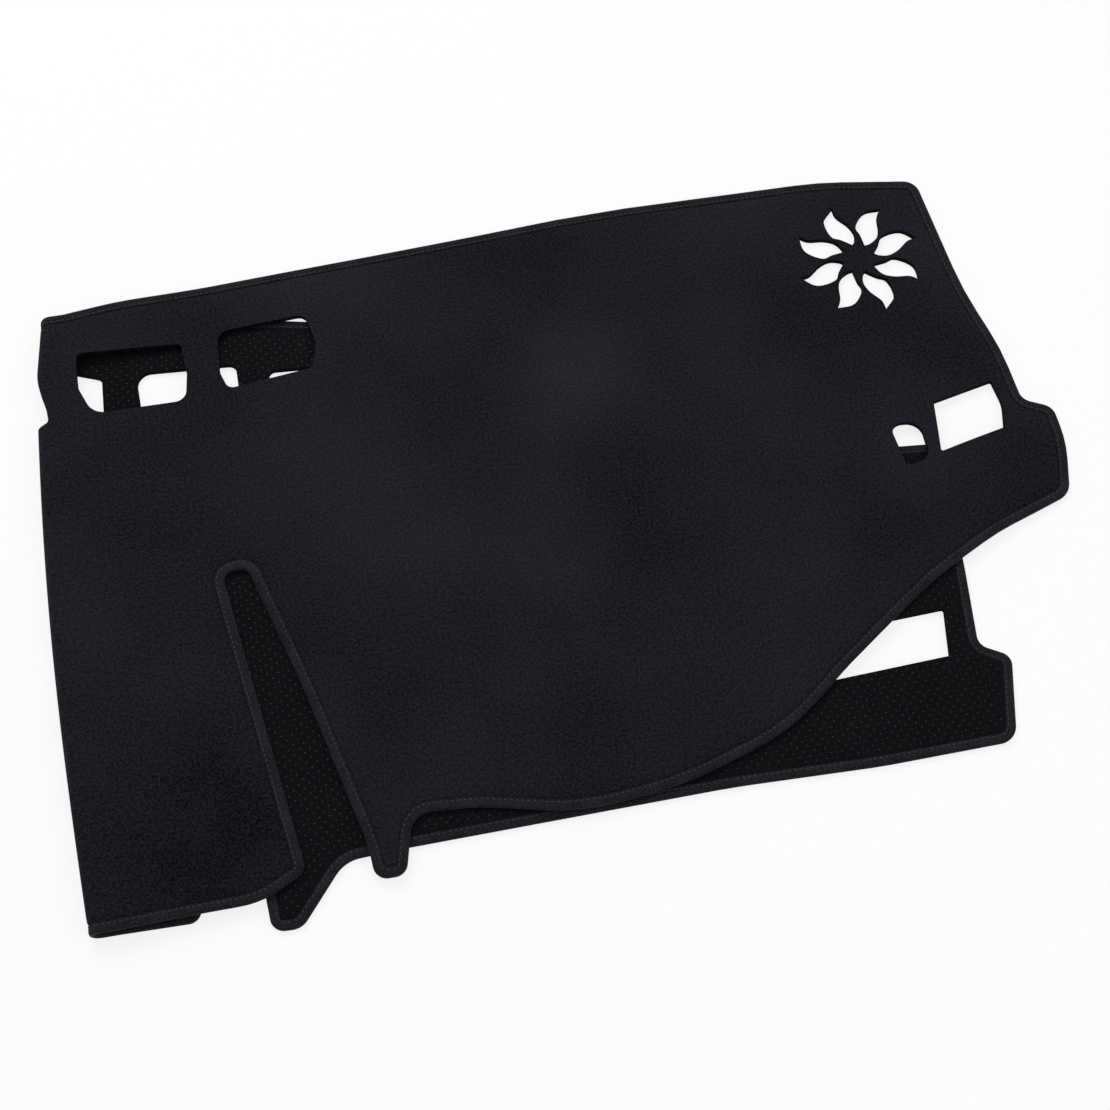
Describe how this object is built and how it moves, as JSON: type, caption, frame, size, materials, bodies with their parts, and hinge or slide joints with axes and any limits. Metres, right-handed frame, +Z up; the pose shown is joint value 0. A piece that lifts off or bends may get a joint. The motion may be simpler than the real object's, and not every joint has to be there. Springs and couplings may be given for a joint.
{
  "type": "dashboard cover mat",
  "caption": "Carpet cover for a car dashboard, folded in half, with a sewn edge tape, fitting slits, vent openings and a sun-shaped cut-out.",
  "frame": {"origin": "on the floor under the middle of the folded mat's box", "axes": "+X away from the fold, +Y along the fold towards the windscreen edge, +Z up through the layers"},
  "size_m": [0.7466, 0.5232, 0.016],
  "materials": {
    "pile_carpet": "short cut pile, matt, near black",
    "edge_tape": "woven polyester tape, satin, near black"
  },
  "bodies": {
    "root": {"carpet_sheet": "pile_carpet", "edge_binding": "edge_tape"}
  },
  "joints": []
}
